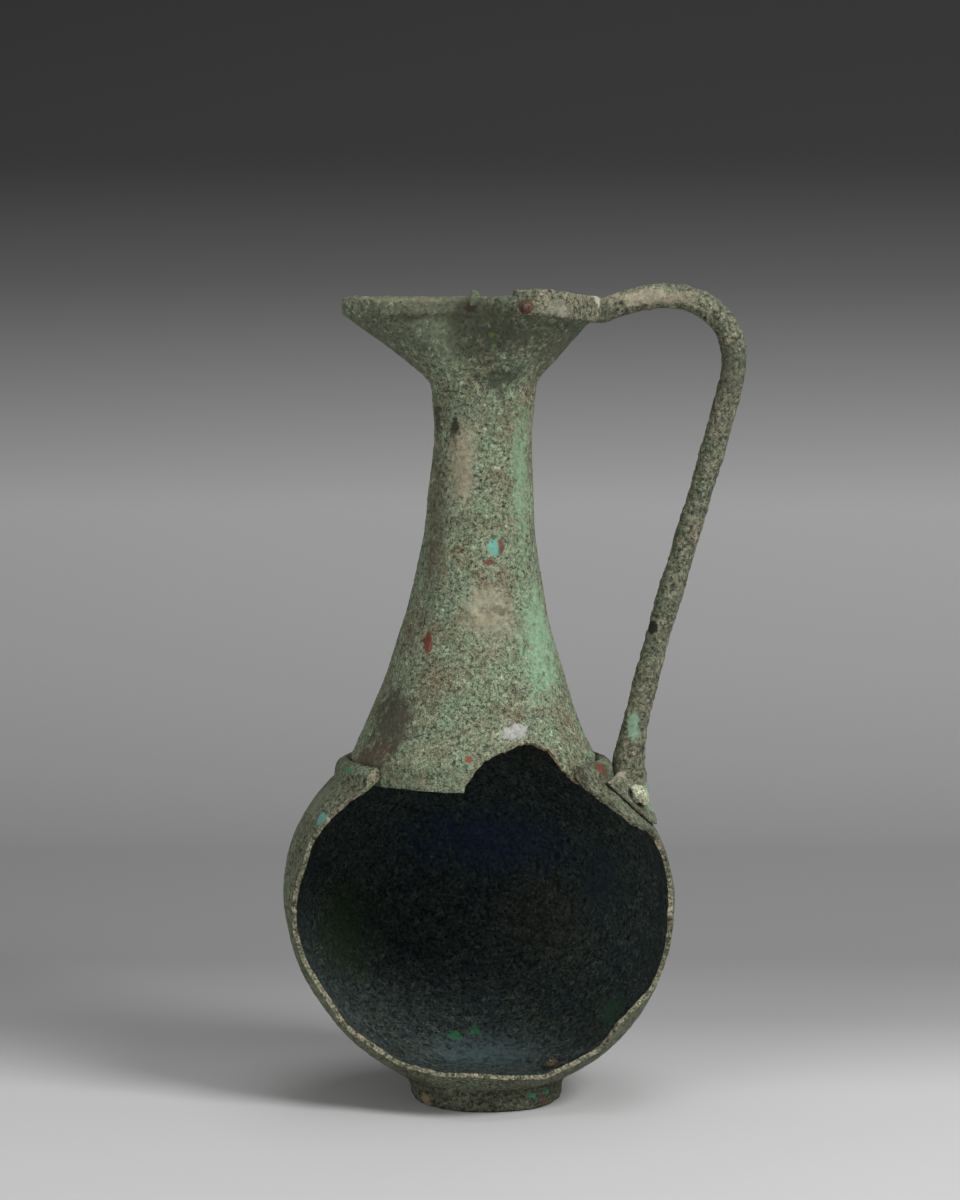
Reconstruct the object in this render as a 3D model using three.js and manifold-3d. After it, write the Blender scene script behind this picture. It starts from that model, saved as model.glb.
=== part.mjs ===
// A bronze jug: a round belly of raised sheet on a low foot, a tall swept neck that plugs into the
// belly's collar, a pinched pouring mouth socketed on the neck, and a cast handle riveted to the rim
// and the shoulder. The front of the belly and the lower edge of the neck are broken away.
// Millimetres, +Z up, the origin at the middle of the foot's underside. The spout points to -X, the
// handle to +X, and the break faces -Y.

import * as THREE from 'three';
import { mergeVertices } from 'three/addons/utils/BufferGeometryUtils.js';
import Module from 'manifold-3d';

const wasm = await Module();
wasm.setup();

// Clearance between two pieces that touch
const fitGap = 0.3;

// Foot: a low cast disc
const footRadius = 20.6;
const footHeight = 4.5;
const footEdgeRound = 1.5;

// Belly: raised sheet, flat below, with a thick collar round its mouth
const bellyRadius = 53.3;
const bellyDrop = 50.4;
const bellyFullness = 1.93;
const bellyBaseRadius = 18;
const bellyWall = 1.3;
const shoulderRise = 48;
const collarWidth = 4.4;
const collarRise = 1.1;
const collarBulge = 3.2;
const collarLipRound = 0.9;

// Neck: a swept cone of sheet
const neckBaseRadius = 33;
const neckPlug = 5.2;
const neckStraight = 5.9;
const neckLength = 104.4;
const neckTopRadius = 13.25;
const neckSweep = 2.25;
const neckWall = 1.2;
const spigotLength = 4.4;
const spigotStep = 0.7;

// Mouth: a sleeve that opens into a pinched funnel with a folded rim
const mouthWall = 1.2;
const sleeveWall = 0.85;
const mouthRise = 25.6;
const mouthBend = 2.6;
const bendSoftness = 1.1;
const spoutReach = 39.3;
const spoutHalfWidth = 14;
const pinchHalfWidth = 10.8;
const pinchPlace = 8.5;
const lobeHalfWidth = 24;
const lobePlace = 10;
const mouthBack = 28.5;
const rimBand = 5.7;
const rimThickness = 3;
const rimDip = 1.8;

// Handle: a round bar between two rim arms and a shoulder plate
const barRadius = 3.4;
const barRootRadius = 5.6;
const crownReach = 47.5;
const crownRise = 0.1;
const handleReach = 66.9;
const elbowDrop = 17.8;
const rootStandOff = 4.5;
const armThickness = 1.8;
const armHeight = 5.2;
const armReach = 36;
const flangeThickness = 1.5;
const flangeReach = 3.2;
const flangeLength = 30.5;
const plateHalfWidth = 16.5;
const plateThickness = 2.2;
const plateEdge = 0.9;
const plateLength = 17;

// Rivets
const rimShank = 1.25;
const rimHead = 2.1;
const rimRivetInset = 2.8;
const rimDome = 1.1;
const shoulderShank = 1.7;
const shoulderHead = 3.4;
const shoulderDome = 2.8;
const shoulderRivetTurn = 15.2;
const shoulderRivetDrop = 7.4;

// The jug has settled out of true: the belly leans to the spout and the neck back to the handle
const bellyLean = -0.042;
const neckLean = 0.035;
const leanBlend = 4;

// Facets
const bellySides = 56;
const neckSides = 44;
const mouthSides = 60;
const barSides = 12;
const rivetSides = 12;

// Heights and radii that follow from the sizes
const bellyBase = footHeight + fitGap;
const bellyCentre = bellyBase + bellyDrop;
const bellyDepth = bellyDrop / (1 - (bellyBaseRadius / bellyRadius) ** bellyFullness) ** (1 / bellyFullness);
const collarBore = neckBaseRadius + fitGap;
const collarFoot = collarBore + collarWidth + collarLipRound / 2;
const collarTop = shoulderHeight(collarBore) + collarRise;
const neckLip = collarTop - neckPlug;
const neckTop = neckLip + neckLength;
const spigotFoot = neckTop - spigotLength;
const sweepStart = neckLip + neckStraight;
const sweepEnd = spigotFoot - spigotStep;
const sleeveRadius = neckTopRadius - spigotStep + fitGap + sleeveWall;
const rimTop = neckTop + mouthRise;
const rimLow = rimTop - rimBand;
const bendHeight = neckTop + mouthBend;
const rimLip = rimThickness / 2;
const rimGrip = rimThickness + 3 * fitGap + armThickness;
const shoulderGrip = bellyWall + 3 * fitGap + plateThickness;

// Where the belly is broken open, as seen from the middle of the belly: degrees round from the front,
// then degrees up from level
const bellyBreak = [
  [-51, 58], [-48, 46], [-49, 42], [-55, 36], [-60, 29], [-64, 22], [-66, 13], [-68, 6], [-70, 0],
  [-73, -7], [-71, -15], [-66, -22], [-62, -30], [-62, -37], [-53, -43], [-45, -51], [-33, -53],
  [-24, -55], [-6, -54], [10, -56], [34, -58], [43, -53], [57, -47], [57, -36], [67, -29], [84, -23],
  [82, -15], [79, -4], [82, 1], [85, 7], [84, 13], [81, 21], [67, 26], [62, 31], [57, 35], [53, 42],
  [54, 47], [57, 58],
];

// The bite out of the neck's lower edge, seen from the middle of that edge
const neckBite = [
  [-7, -9], [-4, 2], [0, 8], [5, 14], [12, 17.5], [17, 19], [25, 22], [31, 22.5], [41, 17.5], [45, 10],
  [52, 4], [61, -1], [63, -9],
];

function shoulderHeight(radius) {
  return bellyCentre + shoulderRise * Math.sqrt(1 - (radius / bellyRadius) ** 2);
}

// A ramp that is flat below zero, rises at 1 above it, and turns softly between
function softRamp(value, softness) {
  return softness * Math.log1p(Math.exp(value / softness));
}

// The sideways shift of the jug's middle at a height
function axisShift(height) {
  return bellyLean * height + (neckLean - bellyLean) * softRamp(height - neckLip - 2 * neckPlug, leanBlend);
}

function smoothStep(from, to, value) {
  return THREE.MathUtils.smoothstep(value, from, to);
}

// Shares one list of corners between the faces and drops faces without area
function weld(geometry) {
  geometry.deleteAttribute('normal');
  geometry.deleteAttribute('uv');
  const welded = mergeVertices(geometry, 1e-4);
  const corners = welded.index.array;
  const kept = [];
  for (let i = 0; i < corners.length; i += 3) {
    const [a, b, c] = corners.slice(i, i + 3);
    if (a !== b && b !== c && c !== a) kept.push(a, b, c);
  }
  welded.setIndex(kept);
  return welded;
}

// Six times the volume that the faces enclose, negative when they face inwards
function signedVolume(positions, corners) {
  const [a, b, c] = [new THREE.Vector3(), new THREE.Vector3(), new THREE.Vector3()];
  let sum = 0;
  for (let i = 0; i < corners.length; i += 3) {
    a.fromArray(positions, 3 * corners[i]);
    b.fromArray(positions, 3 * corners[i + 1]);
    c.fromArray(positions, 3 * corners[i + 2]);
    sum += a.dot(b.cross(c));
  }
  return sum;
}

function solidOf(geometry) {
  const welded = weld(geometry);
  const vertProperties = new Float32Array(welded.attributes.position.array);
  const triVerts = new Uint32Array(welded.index.array);
  if (signedVolume(vertProperties, triVerts) < 0) triVerts.reverse();
  return new wasm.Manifold(new wasm.Mesh({ numProp: 3, vertProperties, triVerts }));
}

function geometryOf(solid) {
  const { vertProperties, triVerts } = solid.getMesh();
  const geometry = new THREE.BufferGeometry();
  geometry.setAttribute('position', new THREE.BufferAttribute(vertProperties, 3));
  geometry.setIndex(new THREE.BufferAttribute(triVerts, 1));
  return geometry;
}

// Turns a closed outline of [radius, height] points round the Z axis
function turned(outline, sides) {
  const points = outline.map(([radius, height]) => new THREE.Vector2(radius, height));
  return solidOf(new THREE.LatheGeometry(points, sides).rotateX(Math.PI / 2));
}

// Fills a flat ring of points with triangles that turn the way the ring does
function capFaces(ring) {
  const middle = ring.reduce((sum, p) => sum.add(p), new THREE.Vector3()).divideScalar(ring.length);
  const normal = new THREE.Vector3();
  ring.forEach((p, i) => {
    const next = ring[(i + 1) % ring.length];
    normal.add(p.clone().sub(middle).cross(next.clone().sub(middle)));
  });
  const across = ring[0].clone().sub(middle).normalize();
  const up = normal.normalize().clone().cross(across);
  const flat = ring.map((p) => {
    const arm = p.clone().sub(middle);
    return new THREE.Vector2(arm.dot(across), arm.dot(up));
  });
  return THREE.ShapeUtils.triangulateShape(flat, []).map(([a, b, c]) => {
    const turn = flat[b].clone().sub(flat[a]).cross(flat[c].clone().sub(flat[a]));
    return turn > 0 ? [a, b, c] : [a, c, b];
  });
}

// Skins a row of rings that have the same number of points, closed on itself or capped at its ends
function lofted(rings, closed) {
  const count = rings[0].length;
  const index = [];
  const spans = closed ? rings.length : rings.length - 1;
  for (let i = 0; i < spans; i += 1) {
    const here = i * count;
    const next = ((i + 1) % rings.length) * count;
    for (let j = 0; j < count; j += 1) {
      const k = (j + 1) % count;
      index.push(here + j, next + j, next + k, here + j, next + k, here + k);
    }
  }
  if (!closed) {
    const last = (rings.length - 1) * count;
    capFaces(rings[0]).forEach(([a, b, c]) => index.push(a, b, c));
    capFaces(rings[rings.length - 1]).forEach(([a, b, c]) => index.push(last + a, last + c, last + b));
  }
  const geometry = new THREE.BufferGeometry();
  const places = rings.flat().flatMap((point) => point.toArray());
  geometry.setAttribute('position', new THREE.Float32BufferAttribute(places, 3));
  geometry.setIndex(index);
  return solidOf(geometry);
}

// A direction given as degrees round from the front (-Y) and degrees up from level
function lookTo([round, up]) {
  const turn = THREE.MathUtils.degToRad(round);
  const rise = THREE.MathUtils.degToRad(up);
  return new THREE.Vector3(Math.sin(turn) * Math.cos(rise), -Math.cos(turn) * Math.cos(rise), Math.sin(rise));
}

// A cutter that opens a wall squarely along an irregular outline, spreading from a point on the axis
function breakCutter(height, outline, reach) {
  const eye = new THREE.Vector3(0, 0, height);
  const looks = outline.map(lookTo);
  const middle = looks.reduce((sum, look) => sum.add(look), new THREE.Vector3()).normalize();
  const cap = eye.clone().addScaledVector(middle, 2 * reach);
  const ring = looks.map((look) => eye.clone().addScaledVector(look, reach));
  const geometry = new THREE.BufferGeometry();
  const points = [...ring, eye, cap];
  const index = [];
  ring.forEach((point, i) => {
    const next = (i + 1) % ring.length;
    index.push(ring.length, i, next, ring.length + 1, next, i);
  });
  geometry.setAttribute('position', new THREE.Float32BufferAttribute(points.flatMap((p) => p.toArray()), 3));
  geometry.setIndex(index);
  return solidOf(geometry);
}

// A round hole cutter along a direction
function holeCutter(middle, direction, radius, length) {
  const turn = new THREE.Quaternion().setFromUnitVectors(new THREE.Vector3(0, 1, 0), direction);
  const geometry = new THREE.CylinderGeometry(radius, radius, length, rivetSides);
  geometry.applyQuaternion(turn).translate(middle.x, middle.y, middle.z);
  return solidOf(geometry);
}

// The belly's lower half from its base to the widest place, moved out by an offset
function lowerBelly(offset, steps) {
  const depth = bellyDepth + offset;
  const start = Math.asin(((bellyDrop + offset) / depth) ** (bellyFullness / 2));
  const power = 2 / bellyFullness;
  return Array.from({ length: steps + 1 }, (_, i) => {
    const angle = start * (1 - i / steps);
    const radius = (bellyRadius + offset) * Math.cos(angle) ** power;
    return [radius, bellyCentre - depth * Math.sin(angle) ** power];
  });
}

// The shoulder from the widest place up to a radius, moved out by an offset
function upperBelly(offset, endRadius, steps) {
  const end = Math.acos(endRadius / (bellyRadius + offset));
  return Array.from({ length: steps }, (_, i) => {
    const angle = (end * (i + 1)) / steps;
    const height = bellyCentre + (shoulderRise + offset) * Math.sin(angle);
    return [(bellyRadius + offset) * Math.cos(angle), height];
  });
}

// The rounded outer side of the collar from low to crest, moved out by an offset
function collarSide(offset) {
  const crest = collarBore + collarLipRound;
  const steps = 5;
  return Array.from({ length: steps + 1 }, (_, i) => {
    const angle = (Math.PI / 2) * (i / steps);
    const radius = crest + (collarWidth - collarLipRound + offset) * Math.cos(angle);
    return [radius, collarTop - collarBulge + (collarBulge + offset) * Math.sin(angle)];
  });
}

// The space that the belly and collar fill from outside, with a fit gap round it
function bellyEnvelope() {
  return turned([
    [0, bellyBase - fitGap],
    ...lowerBelly(fitGap, 12),
    ...upperBelly(fitGap, collarFoot + fitGap, 9),
    ...collarSide(fitGap),
    [0, collarTop + fitGap],
  ], bellySides);
}

function makeFoot() {
  const round = Array.from({ length: 4 }, (_, i) => {
    const angle = (Math.PI / 2) * (i / 3);
    const radius = footRadius - footEdgeRound + footEdgeRound * Math.sin(angle);
    return [radius, footEdgeRound - footEdgeRound * Math.cos(angle)];
  });
  return turned([[0, 0], ...round, [footRadius, footHeight], [0, footHeight]], neckSides);
}

function makeBelly() {
  const bore = [collarBore, collarTop - collarLipRound];
  const shell = turned([
    [0, bellyBase],
    ...lowerBelly(0, 12),
    ...upperBelly(0, collarFoot, 9),
    ...collarSide(0),
    bore,
    ...upperBelly(-bellyWall, collarBore, 9).reverse(),
    ...lowerBelly(-bellyWall, 12).reverse(),
    [0, bellyBase + bellyWall],
  ], bellySides);
  const opened = shell.subtract(breakCutter(bellyCentre, bellyBreak, 1.4 * bellyRadius));
  return shoulderRivets().reduce((solid, { middle, normal }) => {
    return solid.subtract(holeCutter(middle, normal, shoulderShank + fitGap, 3 * shoulderGrip));
  }, opened);
}

// The neck's outer radius at a height, and how fast it narrows there
function neckOutline(height) {
  const sweepLength = sweepEnd - sweepStart;
  const left = Math.min(1, Math.max(0, (sweepEnd - height) / sweepLength));
  const spread = neckBaseRadius - neckTopRadius;
  return {
    radius: neckTopRadius + spread * left ** neckSweep,
    slope: left < 1 ? (spread * neckSweep * left ** (neckSweep - 1)) / sweepLength : 0,
  };
}

function makeNeck() {
  const steps = 11;
  const sweepStep = (sweepEnd - sweepStart) / steps;
  const heights = Array.from({ length: steps + 1 }, (_, i) => sweepStart + sweepStep * i);
  const outside = heights.map((height) => [neckOutline(height).radius, height]);
  const inside = heights.map((height) => {
    const { radius, slope } = neckOutline(height);
    return [radius - neckWall * Math.hypot(1, slope), height];
  });
  const spigot = neckTopRadius - spigotStep;
  const profile = [
    [neckBaseRadius, neckLip],
    ...outside,
    [spigot, spigotFoot],
    [spigot, neckTop],
    [spigot - neckWall, neckTop],
    ...inside.reverse(),
    [neckBaseRadius - neckWall, neckLip],
  ];
  const neck = turned([...profile, profile[0]], neckSides);
  return neck.subtract(breakCutter(neckLip, neckBite, 1.4 * neckBaseRadius));
}

// The rim's outer edge seen from above: spout, pinches, side lobes and back
const spoutShoulder = (spoutReach + pinchPlace) / 2;
const rimHalf = [
  [-(0.72 * spoutReach + 0.28 * spoutShoulder), 0.58 * spoutHalfWidth],
  [-(0.2 * spoutReach + 0.8 * spoutShoulder), 0.93 * spoutHalfWidth],
  [-(0.55 * spoutShoulder + 0.45 * pinchPlace), spoutHalfWidth],
  [-pinchPlace, pinchHalfWidth],
  [0.02 * lobePlace, 0.42 * pinchHalfWidth + 0.58 * lobeHalfWidth],
  [lobePlace, lobeHalfWidth],
  [0.5 * (lobePlace + mouthBack), 0.86 * lobeHalfWidth],
  [lobePlace + 0.86 * (mouthBack - lobePlace), 0.5 * lobeHalfWidth],
];
const rimCurve = new THREE.CatmullRomCurve3([
  new THREE.Vector3(-spoutReach, 0, 0),
  ...rimHalf.map(([x, y]) => new THREE.Vector3(x, y, 0)),
  new THREE.Vector3(mouthBack, 0, 0),
  ...rimHalf.map(([x, y]) => new THREE.Vector3(x, -y, 0)).reverse(),
], true, 'centripetal');
rimCurve.arcLengthDivisions = 1600;

// A place on the rim's outer edge, its outward direction, and how far the rim dips there
function rimPlace(along) {
  const share = ((along % 1) + 1) % 1;
  const point = rimCurve.getPointAt(share);
  const tangent = rimCurve.getTangentAt(share);
  const normal = new THREE.Vector3(-tangent.y, tangent.x, 0).normalize();
  return { point, normal, dip: rimDip * smoothStep(0.4 * mouthBack, mouthBack, point.x) };
}

// How far the funnel has opened at a height: 0 at the sleeve, 1 under the rim
function flare(height) {
  return softRamp(height - bendHeight, bendSoftness) / softRamp(rimLow - bendHeight, bendSoftness);
}

// A point of the mouth: share of the way round, height, and distance out from the funnel's outer face
function mouthPoint(along, height, outward) {
  const { point, normal, dip } = rimPlace(along);
  const turn = Math.PI * (1 - 2 * along);
  const sleeve = new THREE.Vector3(Math.cos(turn), Math.sin(turn), 0);
  const open = Math.min(1, flare(height));
  const edge = point.clone().addScaledVector(normal, -rimLip);
  const place = sleeve.clone().multiplyScalar(sleeveRadius).lerp(edge, open);
  const facing = sleeve.lerp(normal, open).normalize();
  const sink = dip * Math.min(1, Math.max(0, (height - bendHeight) / (rimLow - bendHeight)));
  return place.addScaledVector(facing, outward).setZ(height - sink);
}

// The level thickness that gives the funnel its wall where it slants
function slantedWall(along, height) {
  const step = 0.5;
  const low = mouthPoint(along, height - step, 0);
  const high = mouthPoint(along, height + step, 0);
  return mouthWall * Math.hypot(1, high.sub(low).setZ(0).length() / (2 * step));
}

function makeMouth() {
  const climb = [0, 0.12, 0.24, 0.45, 0.7];
  const funnel = climb.map((share) => bendHeight + (rimLow - bendHeight) * share);
  const ledge = neckTop + fitGap;
  const sections = Array.from({ length: mouthSides }, (_, i) => {
    const along = i / mouthSides;
    const at = (height, outward) => mouthPoint(along, height, outward);
    const wallAt = (height) => at(height, -slantedWall(along, Math.min(height, rimLow - 1)));
    return [
      at(spigotFoot + fitGap, 0),
      at(neckTop, 0),
      ...funnel.map((height) => at(height, 0)),
      at(rimLow, 0),
      at(rimLow + 0.8, rimLip - 0.3),
      at(rimLow + 1.6, rimLip),
      at(rimTop - 1.4, rimLip),
      at(rimTop - 0.4, rimLip - 0.6),
      at(rimTop, 0.1),
      at(rimTop, -0.6),
      at(rimTop - 0.5, -rimLip + 0.2),
      at(rimTop - 1.5, -rimLip),
      wallAt(rimLow + 1),
      ...funnel.slice(1).reverse().map(wallAt),
      wallAt(ledge),
      at(ledge, -sleeveWall),
      at(spigotFoot + fitGap, -sleeveWall),
    ];
  });
  return rimRivets().reduce((solid, { middle, normal }) => {
    return solid.subtract(holeCutter(middle, normal, rimShank + fitGap, 3 * rimGrip));
  }, lofted(sections, true));
}

// Share of the rim's length that a distance along it takes
function rimShare(distance) {
  return distance / rimCurve.getLength();
}

// The two arms that clasp the rim, with a flange lying on it
function makeArms() {
  const steps = 26;
  const low = rimTop - armHeight;
  const top = rimTop + fitGap + flangeThickness;
  const inner = rimLip + fitGap;
  const outer = inner + armThickness;
  const sections = Array.from({ length: steps + 1 }, (_, i) => {
    const distance = armReach * (2 * (i / steps) - 1);
    const { point, normal, dip } = rimPlace(0.5 + rimShare(distance));
    const flange = 1 - smoothStep(flangeLength - 2, flangeLength + 2, Math.abs(distance));
    const reach = (inner + 0.4) * (1 - flange) + (rimLip - flangeReach) * flange;
    const edge = point.clone().addScaledVector(normal, -rimLip);
    const at = (outward, height) => edge.clone().addScaledVector(normal, outward).setZ(height - dip);
    return [
      at(inner, low), at(outer - 0.5, low), at(outer, low + 0.6), at(outer, top - 0.9), at(outer - 0.8, top),
      at(reach, top), at(reach, rimTop + fitGap), at(inner, rimTop + fitGap),
    ];
  });
  return lofted(sections, false);
}

// The handle's centre line: up from the rim, over the crown, round the elbow and down to the shoulder
function handleLine() {
  const at = (x, z) => new THREE.Vector3(x, 0, z);
  const start = at(mouthBack + fitGap + armThickness / 2, rimTop - rimDip - armHeight / 2);
  const crown = at(crownReach, rimTop + crownRise);
  const elbow = at(handleReach, crown.z - elbowDrop);
  const root = at(collarBore + collarWidth + rootStandOff, collarTop - collarBulge / 2);
  const end = at(root.x, shoulderHeight(root.x) - barRadius);
  const rise = crown.x - start.x;
  const out = elbow.x - crown.x;
  const run = elbow.z - root.z;
  const line = new THREE.CurvePath();
  line.add(new THREE.CubicBezierCurve3(start, at(start.x + 0.33 * rise, start.z + 0.5 * (crown.z - start.z)),
    at(crown.x - 0.33 * rise, crown.z), crown));
  line.add(new THREE.CubicBezierCurve3(crown, at(crown.x + 0.6 * out, crown.z),
    at(elbow.x, elbow.z + 0.6 * elbowDrop), elbow));
  line.add(new THREE.CubicBezierCurve3(elbow, at(elbow.x, elbow.z - 0.11 * run),
    at(root.x + 0.055 * run, root.z + 0.35 * run), root));
  line.add(new THREE.LineCurve3(root, end));
  return line;
}

// The round bar, thicker at its root
function makeBar() {
  const line = handleLine();
  const steps = 42;
  const sideways = new THREE.Vector3(0, 1, 0);
  const sections = Array.from({ length: steps + 1 }, (_, i) => {
    const share = i / steps;
    const middle = line.getPointAt(share);
    const across = sideways.clone().cross(line.getTangentAt(share));
    const root = 1 - smoothStep(collarTop - 14, collarTop + 16, middle.z);
    const radius = barRadius + (barRootRadius - barRadius) * root ** 1.5;
    return Array.from({ length: barSides }, (_unused, j) => {
      const turn = (2 * Math.PI * j) / barSides;
      return middle.clone()
        .addScaledVector(across, radius * Math.cos(turn))
        .addScaledVector(sideways, radius * Math.sin(turn));
    });
  });
  return lofted(sections, false);
}

// A point on the shoulder: angle up the belly's outline, turn from the handle, distance off the sheet
function shoulderPoint(climb, turn, off) {
  const flat = Math.cos(climb) / bellyRadius;
  const steep = Math.sin(climb) / shoulderRise;
  const size = Math.hypot(flat, steep);
  const radius = bellyRadius * Math.cos(climb) + (off * flat) / size;
  const height = bellyCentre + shoulderRise * Math.sin(climb) + (off * steep) / size;
  return new THREE.Vector3(radius * Math.cos(turn), radius * Math.sin(turn), height);
}

// How far up the belly's outline a place lies that is a distance down the slope from the collar
function shoulderClimb(distance) {
  const top = Math.acos((collarFoot + fitGap) / bellyRadius);
  return top - distance / ((bellyRadius + shoulderRise) / 2);
}

// The leaf-shaped plate that spreads over the shoulder
function makePlate() {
  const rows = 10;
  const columns = 8;
  const sections = Array.from({ length: rows + 1 }, (_, i) => {
    const share = 0.985 * (i / rows);
    const climb = shoulderClimb(share * plateLength);
    const halfWidth = plateHalfWidth * (1 - share ** 2.4) ** (1 / 2.4);
    const halfTurn = halfWidth / (bellyRadius * Math.cos(climb));
    const row = (offAt) => Array.from({ length: columns + 1 }, (_unused, j) => {
      const side = 2 * (j / columns) - 1;
      return shoulderPoint(climb, side * halfTurn, offAt(side));
    });
    const crown = (side) => plateEdge + (plateThickness - plateEdge) * (1 - side ** 4) * (1 - share ** 4);
    return [...row(() => fitGap), ...row((side) => fitGap + crown(side)).reverse()];
  });
  return lofted(sections, false);
}

function makeHandle() {
  const whole = makeArms().add(makeBar()).add(makePlate()).subtract(bellyEnvelope());
  const drilled = rimRivets().reduce((solid, { middle, normal }) => {
    return solid.subtract(holeCutter(middle, normal, rimShank + fitGap, 3 * rimGrip));
  }, whole);
  return shoulderRivets().reduce((solid, { middle, normal }) => {
    return solid.subtract(holeCutter(middle, normal, shoulderShank + fitGap, 3 * shoulderGrip));
  }, drilled);
}

// The rim rivets: the middle of each one's outer seat, its direction and side
function rimRivets() {
  return [-1, 1].map((side) => {
    const distance = armReach - rimRivetInset;
    const { point, normal, dip } = rimPlace(0.5 - side * rimShare(distance));
    const seat = 2 * fitGap + armThickness;
    const height = rimTop - dip - rimBand / 2;
    return { side, normal, middle: point.clone().addScaledVector(normal, seat).setZ(height) };
  });
}

// The shoulder rivets, each with its outer seat on the plate
function shoulderRivets() {
  return [-1, 1].map((side) => {
    const turn = side * THREE.MathUtils.degToRad(shoulderRivetTurn);
    const climb = shoulderClimb(shoulderRivetDrop);
    const seat = 2 * fitGap + plateThickness;
    const middle = shoulderPoint(climb, turn, seat);
    const normal = middle.clone().sub(shoulderPoint(climb, turn, 0)).normalize();
    return { side, normal, middle };
  });
}

// A rivet that stands on its inner head, with its outer seat at the origin and its dome along +Z
function makeRivet(grip, shank, head, dome) {
  const arc = (radius, rise, from, steps) => Array.from({ length: steps + 1 }, (_, i) => {
    const angle = (Math.PI / 2) * (i / steps);
    return [radius * Math.cos(angle), from + rise * Math.sin(angle)];
  });
  const inner = arc(0.82 * head, -0.4 * dome, -grip, 3).reverse();
  return turned([...inner, [shank, -grip], [shank, 0], ...arc(head, dome, 0, 3)], rivetSides);
}

// Shifts every corner sideways by the lean of the jug at its height
function leaned(solid) {
  const geometry = geometryOf(solid);
  const place = geometry.attributes.position;
  for (let i = 0; i < place.count; i += 1) {
    place.setX(i, place.getX(i) + axisShift(place.getZ(i)));
  }
  return geometry;
}

const jug = new THREE.Group();

function addPiece(name, geometry, colour, roughness, metalness) {
  const material = new THREE.MeshStandardMaterial({ color: colour, roughness, metalness });
  const mesh = new THREE.Mesh(geometry, material);
  mesh.name = name;
  jug.add(mesh);
  return mesh;
}

// Sets a rivet with its seat at a place and its dome along a direction
function addRivet(name, solid, { middle, normal }, colour) {
  const mesh = addPiece(name, geometryOf(solid), colour, 0.85, 0.15);
  mesh.position.copy(middle);
  mesh.position.x += axisShift(middle.z);
  mesh.quaternion.setFromUnitVectors(new THREE.Vector3(0, 0, 1), normal);
}

addPiece('foot', leaned(makeFoot()), 0x55584a, 0.9, 0.15);
addPiece('body_shell', leaned(makeBelly()), 0x5a6b5c, 0.88, 0.15);
addPiece('neck', leaned(makeNeck()), 0x72836f, 0.86, 0.15);
addPiece('mouth', leaned(makeMouth()), 0x5f6d59, 0.88, 0.15);
addPiece('handle', leaned(makeHandle()), 0x5c6152, 0.9, 0.15);

const sideNames = { '-1': 'front', 1: 'back' };
rimRivets().forEach((place) => {
  const rivet = makeRivet(rimGrip, rimShank, rimHead, rimDome);
  addRivet(`rim_rivet_${sideNames[place.side]}`, rivet, place, 0x6b4a3c);
});
shoulderRivets().forEach((place) => {
  const rivet = makeRivet(shoulderGrip, shoulderShank, shoulderHead, shoulderDome);
  addRivet(`shoulder_rivet_${sideNames[place.side]}`, rivet, place, 0x8a8f78);
});

export default jug;
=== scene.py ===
# %% [markdown]
# This lesson dresses an excavated bronze jug. Its measured solids come from a frame that is loaded
# first and never moved. Each solid is then replaced by a finer piece: sheet that was hammered, cut
# by a ragged break and eaten by corrosion, and cast parts with a crust on them.

# %% Load the measured frame
import math

import bpy
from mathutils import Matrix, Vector, noise


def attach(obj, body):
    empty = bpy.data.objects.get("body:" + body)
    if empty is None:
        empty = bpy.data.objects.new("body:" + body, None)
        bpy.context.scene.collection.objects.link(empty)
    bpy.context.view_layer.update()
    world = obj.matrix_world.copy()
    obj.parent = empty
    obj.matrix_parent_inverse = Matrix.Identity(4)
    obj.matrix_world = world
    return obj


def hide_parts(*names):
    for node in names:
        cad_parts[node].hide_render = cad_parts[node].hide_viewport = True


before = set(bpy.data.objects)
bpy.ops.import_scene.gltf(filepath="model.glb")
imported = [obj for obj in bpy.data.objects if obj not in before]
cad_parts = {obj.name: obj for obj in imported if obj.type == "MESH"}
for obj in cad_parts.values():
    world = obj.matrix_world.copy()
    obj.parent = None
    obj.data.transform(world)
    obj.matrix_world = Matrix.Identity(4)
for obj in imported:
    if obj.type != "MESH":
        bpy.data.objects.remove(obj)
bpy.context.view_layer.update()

# %% [markdown]
# The camera comes first, because stains and growths are placed by what it sees. A long lens stands
# about a metre away, a little above the jug's mouth, and looks slightly down. The focal length is
# held in pixels of the 960 by 1200 picture, so a pixel can be turned into a line of sight.

# %% Set the camera
image_width = 960
image_height = 1200
focal_pixels = 3465
horizon_above_middle = 300
sensor_size = 36
camera_place = Vector((-0.00206, -0.935, 0.2175))
camera_pitch = math.atan(horizon_above_middle / focal_pixels)

camera_data = bpy.data.cameras.new("photo_camera")
camera_data.sensor_fit = "VERTICAL"
camera_data.sensor_height = sensor_size
camera_data.lens = focal_pixels * sensor_size / image_height
camera = bpy.data.objects.new("photo_camera", camera_data)
camera.location = camera_place
camera.rotation_euler = (math.pi / 2 - camera_pitch, 0, 0)
bpy.context.scene.collection.objects.link(camera)
bpy.context.scene.camera = camera
bpy.context.scene.view_settings.view_transform = "Standard"
print("lens", round(camera_data.lens, 2), "mm")


def sight(across, down):
    """The direction from the camera through a pixel of the picture."""
    forward = Vector((0, math.cos(camera_pitch), -math.sin(camera_pitch)))
    up = Vector((0, math.sin(camera_pitch), math.cos(camera_pitch)))
    side = Vector((1, 0, 0))
    return forward * focal_pixels + side * (across - image_width / 2) - up * (down - image_height / 2)


def on_axis_plane(across, down):
    """Where the line of sight through a pixel meets the upright plane through the jug's axis."""
    look = sight(across, down).normalized()
    return camera_place - look * (camera_place.y / look.y)


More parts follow.
